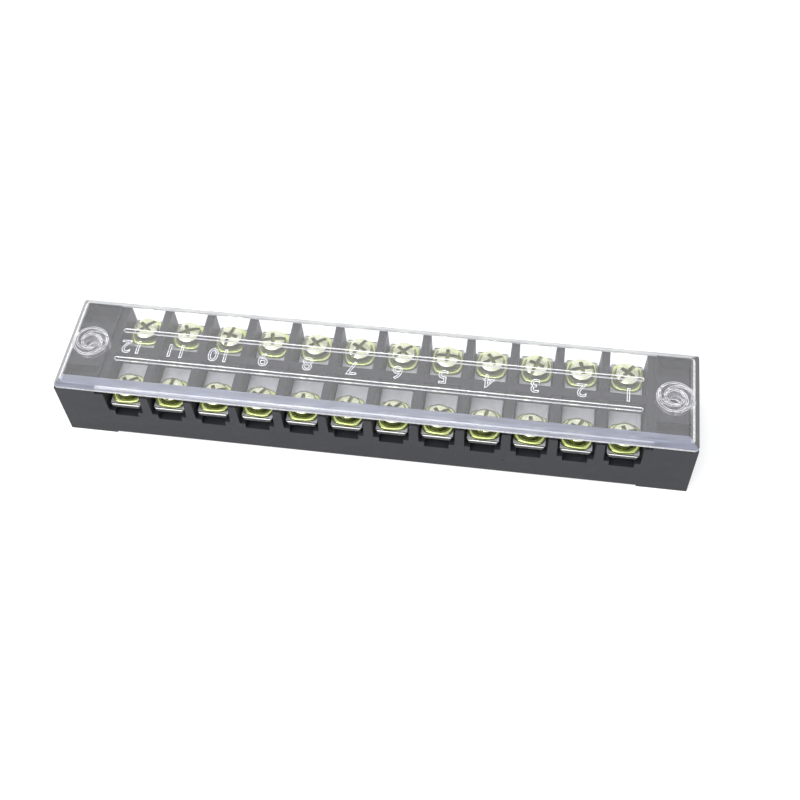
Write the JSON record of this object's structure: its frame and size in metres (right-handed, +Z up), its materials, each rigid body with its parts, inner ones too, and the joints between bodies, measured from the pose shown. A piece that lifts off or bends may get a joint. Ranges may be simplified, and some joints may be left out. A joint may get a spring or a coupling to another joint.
{
  "type": "barrier terminal strip",
  "caption": "Double-row barrier terminal strip with a black moulded base, plated bars, clamp screws with captive square washers, and a clear press-fit cover.",
  "frame": {"origin": "centre of the base's underside", "axes": "+X along the row, from pole 12 to pole 1; +Y from the front row to the back row; +Z up, out of the cover's top"},
  "size_m": [0.122, 0.0216, 0.016],
  "materials": {
    "base_plastic": "satin black moulded plastic",
    "cover_plastic": "clear plastic with a faint violet tint",
    "bar_plating": "bright nickel plating on brass",
    "screw_plating": "yellow-green passivated zinc plating",
    "washer_plating": "yellow-green passivated zinc plating"
  },
  "bodies": {
    "base": {"base": "base_plastic", "conductor_bars": "bar_plating"},
    "cover": {"cover": "cover_plastic"},
    "front_washer_1": {"front_washer_1": "washer_plating"},
    "front_screw_1": {"front_screw_1": "screw_plating"},
    "front_washer_2": {"front_washer_2": "washer_plating"},
    "front_screw_2": {"front_screw_2": "screw_plating"},
    "front_washer_3": {"front_washer_3": "washer_plating"},
    "front_screw_3": {"front_screw_3": "screw_plating"},
    "front_washer_4": {"front_washer_4": "washer_plating"},
    "front_screw_4": {"front_screw_4": "screw_plating"},
    "front_washer_5": {"front_washer_5": "washer_plating"},
    "front_screw_5": {"front_screw_5": "screw_plating"},
    "front_washer_6": {"front_washer_6": "washer_plating"},
    "front_screw_6": {"front_screw_6": "screw_plating"},
    "front_washer_7": {"front_washer_7": "washer_plating"},
    "front_screw_7": {"front_screw_7": "screw_plating"},
    "front_washer_8": {"front_washer_8": "washer_plating"},
    "front_screw_8": {"front_screw_8": "screw_plating"},
    "front_washer_9": {"front_washer_9": "washer_plating"},
    "front_screw_9": {"front_screw_9": "screw_plating"},
    "front_washer_10": {"front_washer_10": "washer_plating"},
    "front_screw_10": {"front_screw_10": "screw_plating"},
    "front_washer_11": {"front_washer_11": "washer_plating"},
    "front_screw_11": {"front_screw_11": "screw_plating"},
    "front_washer_12": {"front_washer_12": "washer_plating"},
    "front_screw_12": {"front_screw_12": "screw_plating"},
    "back_washer_1": {"back_washer_1": "washer_plating"},
    "back_screw_1": {"back_screw_1": "screw_plating"},
    "back_washer_2": {"back_washer_2": "washer_plating"},
    "back_screw_2": {"back_screw_2": "screw_plating"},
    "back_washer_3": {"back_washer_3": "washer_plating"},
    "back_screw_3": {"back_screw_3": "screw_plating"},
    "back_washer_4": {"back_washer_4": "washer_plating"},
    "back_screw_4": {"back_screw_4": "screw_plating"},
    "back_washer_5": {"back_washer_5": "washer_plating"},
    "back_screw_5": {"back_screw_5": "screw_plating"},
    "back_washer_6": {"back_washer_6": "washer_plating"},
    "back_screw_6": {"back_screw_6": "screw_plating"},
    "back_washer_7": {"back_washer_7": "washer_plating"},
    "back_screw_7": {"back_screw_7": "screw_plating"},
    "back_washer_8": {"back_washer_8": "washer_plating"},
    "back_screw_8": {"back_screw_8": "screw_plating"},
    "back_washer_9": {"back_washer_9": "washer_plating"},
    "back_screw_9": {"back_screw_9": "screw_plating"},
    "back_washer_10": {"back_washer_10": "washer_plating"},
    "back_screw_10": {"back_screw_10": "screw_plating"},
    "back_washer_11": {"back_washer_11": "washer_plating"},
    "back_screw_11": {"back_screw_11": "screw_plating"},
    "back_washer_12": {"back_washer_12": "washer_plating"},
    "back_screw_12": {"back_screw_12": "screw_plating"}
  },
  "joints": [
    {"name": "cover_lift", "type": "slide", "parent": "base", "child": "cover", "axis": [0, 0, 1], "range_m": [0, 0.02]},
    {"name": "front_washer_1_lift", "type": "slide", "parent": "base", "child": "front_washer_1", "axis": [0, 0, 1], "range_m": [0, 0.0025]},
    {"name": "front_screw_1_turn", "type": "hinge", "parent": "front_washer_1", "child": "front_screw_1", "pos_m": [0.04785, -0.0069, 0.01], "axis": [0, 0, 1], "range_deg": [0, 1800]},
    {"name": "front_washer_2_lift", "type": "slide", "parent": "base", "child": "front_washer_2", "axis": [0, 0, 1], "range_m": [0, 0.0025]},
    {"name": "front_screw_2_turn", "type": "hinge", "parent": "front_washer_2", "child": "front_screw_2", "pos_m": [0.03915, -0.0069, 0.01], "axis": [0, 0, 1], "range_deg": [0, 1800]},
    {"name": "front_washer_3_lift", "type": "slide", "parent": "base", "child": "front_washer_3", "axis": [0, 0, 1], "range_m": [0, 0.0025]},
    {"name": "front_screw_3_turn", "type": "hinge", "parent": "front_washer_3", "child": "front_screw_3", "pos_m": [0.03045, -0.0069, 0.01], "axis": [0, 0, 1], "range_deg": [0, 1800]},
    {"name": "front_washer_4_lift", "type": "slide", "parent": "base", "child": "front_washer_4", "axis": [0, 0, 1], "range_m": [0, 0.0025]},
    {"name": "front_screw_4_turn", "type": "hinge", "parent": "front_washer_4", "child": "front_screw_4", "pos_m": [0.02175, -0.0069, 0.01], "axis": [0, 0, 1], "range_deg": [0, 1800]},
    {"name": "front_washer_5_lift", "type": "slide", "parent": "base", "child": "front_washer_5", "axis": [0, 0, 1], "range_m": [0, 0.0025]},
    {"name": "front_screw_5_turn", "type": "hinge", "parent": "front_washer_5", "child": "front_screw_5", "pos_m": [0.01305, -0.0069, 0.01], "axis": [0, 0, 1], "range_deg": [0, 1800]},
    {"name": "front_washer_6_lift", "type": "slide", "parent": "base", "child": "front_washer_6", "axis": [0, 0, 1], "range_m": [0, 0.0025]},
    {"name": "front_screw_6_turn", "type": "hinge", "parent": "front_washer_6", "child": "front_screw_6", "pos_m": [0.00435, -0.0069, 0.01], "axis": [0, 0, 1], "range_deg": [0, 1800]},
    {"name": "front_washer_7_lift", "type": "slide", "parent": "base", "child": "front_washer_7", "axis": [0, 0, 1], "range_m": [0, 0.0025]},
    {"name": "front_screw_7_turn", "type": "hinge", "parent": "front_washer_7", "child": "front_screw_7", "pos_m": [-0.00435, -0.0069, 0.01], "axis": [0, 0, 1], "range_deg": [0, 1800]},
    {"name": "front_washer_8_lift", "type": "slide", "parent": "base", "child": "front_washer_8", "axis": [0, 0, 1], "range_m": [0, 0.0025]},
    {"name": "front_screw_8_turn", "type": "hinge", "parent": "front_washer_8", "child": "front_screw_8", "pos_m": [-0.01305, -0.0069, 0.01], "axis": [0, 0, 1], "range_deg": [0, 1800]},
    {"name": "front_washer_9_lift", "type": "slide", "parent": "base", "child": "front_washer_9", "axis": [0, 0, 1], "range_m": [0, 0.0025]},
    {"name": "front_screw_9_turn", "type": "hinge", "parent": "front_washer_9", "child": "front_screw_9", "pos_m": [-0.02175, -0.0069, 0.01], "axis": [0, 0, 1], "range_deg": [0, 1800]},
    {"name": "front_washer_10_lift", "type": "slide", "parent": "base", "child": "front_washer_10", "axis": [0, 0, 1], "range_m": [0, 0.0025]},
    {"name": "front_screw_10_turn", "type": "hinge", "parent": "front_washer_10", "child": "front_screw_10", "pos_m": [-0.03045, -0.0069, 0.01], "axis": [0, 0, 1], "range_deg": [0, 1800]},
    {"name": "front_washer_11_lift", "type": "slide", "parent": "base", "child": "front_washer_11", "axis": [0, 0, 1], "range_m": [0, 0.0025]},
    {"name": "front_screw_11_turn", "type": "hinge", "parent": "front_washer_11", "child": "front_screw_11", "pos_m": [-0.03915, -0.0069, 0.01], "axis": [0, 0, 1], "range_deg": [0, 1800]},
    {"name": "front_washer_12_lift", "type": "slide", "parent": "base", "child": "front_washer_12", "axis": [0, 0, 1], "range_m": [0, 0.0025]},
    {"name": "front_screw_12_turn", "type": "hinge", "parent": "front_washer_12", "child": "front_screw_12", "pos_m": [-0.04785, -0.0069, 0.01], "axis": [0, 0, 1], "range_deg": [0, 1800]},
    {"name": "back_washer_1_lift", "type": "slide", "parent": "base", "child": "back_washer_1", "axis": [0, 0, 1], "range_m": [0, 0.0025]},
    {"name": "back_screw_1_turn", "type": "hinge", "parent": "back_washer_1", "child": "back_screw_1", "pos_m": [0.04785, 0.0069, 0.01], "axis": [0, 0, 1], "range_deg": [0, 1800]},
    {"name": "back_washer_2_lift", "type": "slide", "parent": "base", "child": "back_washer_2", "axis": [0, 0, 1], "range_m": [0, 0.0025]},
    {"name": "back_screw_2_turn", "type": "hinge", "parent": "back_washer_2", "child": "back_screw_2", "pos_m": [0.03915, 0.0069, 0.01], "axis": [0, 0, 1], "range_deg": [0, 1800]},
    {"name": "back_washer_3_lift", "type": "slide", "parent": "base", "child": "back_washer_3", "axis": [0, 0, 1], "range_m": [0, 0.0025]},
    {"name": "back_screw_3_turn", "type": "hinge", "parent": "back_washer_3", "child": "back_screw_3", "pos_m": [0.03045, 0.0069, 0.01], "axis": [0, 0, 1], "range_deg": [0, 1800]},
    {"name": "back_washer_4_lift", "type": "slide", "parent": "base", "child": "back_washer_4", "axis": [0, 0, 1], "range_m": [0, 0.0025]},
    {"name": "back_screw_4_turn", "type": "hinge", "parent": "back_washer_4", "child": "back_screw_4", "pos_m": [0.02175, 0.0069, 0.01], "axis": [0, 0, 1], "range_deg": [0, 1800]},
    {"name": "back_washer_5_lift", "type": "slide", "parent": "base", "child": "back_washer_5", "axis": [0, 0, 1], "range_m": [0, 0.0025]},
    {"name": "back_screw_5_turn", "type": "hinge", "parent": "back_washer_5", "child": "back_screw_5", "pos_m": [0.01305, 0.0069, 0.01], "axis": [0, 0, 1], "range_deg": [0, 1800]},
    {"name": "back_washer_6_lift", "type": "slide", "parent": "base", "child": "back_washer_6", "axis": [0, 0, 1], "range_m": [0, 0.0025]},
    {"name": "back_screw_6_turn", "type": "hinge", "parent": "back_washer_6", "child": "back_screw_6", "pos_m": [0.00435, 0.0069, 0.01], "axis": [0, 0, 1], "range_deg": [0, 1800]},
    {"name": "back_washer_7_lift", "type": "slide", "parent": "base", "child": "back_washer_7", "axis": [0, 0, 1], "range_m": [0, 0.0025]},
    {"name": "back_screw_7_turn", "type": "hinge", "parent": "back_washer_7", "child": "back_screw_7", "pos_m": [-0.00435, 0.0069, 0.01], "axis": [0, 0, 1], "range_deg": [0, 1800]},
    {"name": "back_washer_8_lift", "type": "slide", "parent": "base", "child": "back_washer_8", "axis": [0, 0, 1], "range_m": [0, 0.0025]},
    {"name": "back_screw_8_turn", "type": "hinge", "parent": "back_washer_8", "child": "back_screw_8", "pos_m": [-0.01305, 0.0069, 0.01], "axis": [0, 0, 1], "range_deg": [0, 1800]},
    {"name": "back_washer_9_lift", "type": "slide", "parent": "base", "child": "back_washer_9", "axis": [0, 0, 1], "range_m": [0, 0.0025]},
    {"name": "back_screw_9_turn", "type": "hinge", "parent": "back_washer_9", "child": "back_screw_9", "pos_m": [-0.02175, 0.0069, 0.01], "axis": [0, 0, 1], "range_deg": [0, 1800]},
    {"name": "back_washer_10_lift", "type": "slide", "parent": "base", "child": "back_washer_10", "axis": [0, 0, 1], "range_m": [0, 0.0025]},
    {"name": "back_screw_10_turn", "type": "hinge", "parent": "back_washer_10", "child": "back_screw_10", "pos_m": [-0.03045, 0.0069, 0.01], "axis": [0, 0, 1], "range_deg": [0, 1800]},
    {"name": "back_washer_11_lift", "type": "slide", "parent": "base", "child": "back_washer_11", "axis": [0, 0, 1], "range_m": [0, 0.0025]},
    {"name": "back_screw_11_turn", "type": "hinge", "parent": "back_washer_11", "child": "back_screw_11", "pos_m": [-0.03915, 0.0069, 0.01], "axis": [0, 0, 1], "range_deg": [0, 1800]},
    {"name": "back_washer_12_lift", "type": "slide", "parent": "base", "child": "back_washer_12", "axis": [0, 0, 1], "range_m": [0, 0.0025]},
    {"name": "back_screw_12_turn", "type": "hinge", "parent": "back_washer_12", "child": "back_screw_12", "pos_m": [-0.04785, 0.0069, 0.01], "axis": [0, 0, 1], "range_deg": [0, 1800]}
  ],
  "couplings": [
    {"joint": "front_screw_1_turn", "follows": "front_washer_1_lift", "rad_per_m": 12566},
    {"joint": "front_screw_2_turn", "follows": "front_washer_2_lift", "rad_per_m": 12566},
    {"joint": "front_screw_3_turn", "follows": "front_washer_3_lift", "rad_per_m": 12566},
    {"joint": "front_screw_4_turn", "follows": "front_washer_4_lift", "rad_per_m": 12566},
    {"joint": "front_screw_5_turn", "follows": "front_washer_5_lift", "rad_per_m": 12566},
    {"joint": "front_screw_6_turn", "follows": "front_washer_6_lift", "rad_per_m": 12566},
    {"joint": "front_screw_7_turn", "follows": "front_washer_7_lift", "rad_per_m": 12566},
    {"joint": "front_screw_8_turn", "follows": "front_washer_8_lift", "rad_per_m": 12566},
    {"joint": "front_screw_9_turn", "follows": "front_washer_9_lift", "rad_per_m": 12566},
    {"joint": "front_screw_10_turn", "follows": "front_washer_10_lift", "rad_per_m": 12566},
    {"joint": "front_screw_11_turn", "follows": "front_washer_11_lift", "rad_per_m": 12566},
    {"joint": "front_screw_12_turn", "follows": "front_washer_12_lift", "rad_per_m": 12566},
    {"joint": "back_screw_1_turn", "follows": "back_washer_1_lift", "rad_per_m": 12566},
    {"joint": "back_screw_2_turn", "follows": "back_washer_2_lift", "rad_per_m": 12566},
    {"joint": "back_screw_3_turn", "follows": "back_washer_3_lift", "rad_per_m": 12566},
    {"joint": "back_screw_4_turn", "follows": "back_washer_4_lift", "rad_per_m": 12566},
    {"joint": "back_screw_5_turn", "follows": "back_washer_5_lift", "rad_per_m": 12566},
    {"joint": "back_screw_6_turn", "follows": "back_washer_6_lift", "rad_per_m": 12566},
    {"joint": "back_screw_7_turn", "follows": "back_washer_7_lift", "rad_per_m": 12566},
    {"joint": "back_screw_8_turn", "follows": "back_washer_8_lift", "rad_per_m": 12566},
    {"joint": "back_screw_9_turn", "follows": "back_washer_9_lift", "rad_per_m": 12566},
    {"joint": "back_screw_10_turn", "follows": "back_washer_10_lift", "rad_per_m": 12566},
    {"joint": "back_screw_11_turn", "follows": "back_washer_11_lift", "rad_per_m": 12566},
    {"joint": "back_screw_12_turn", "follows": "back_washer_12_lift", "rad_per_m": 12566}
  ]
}
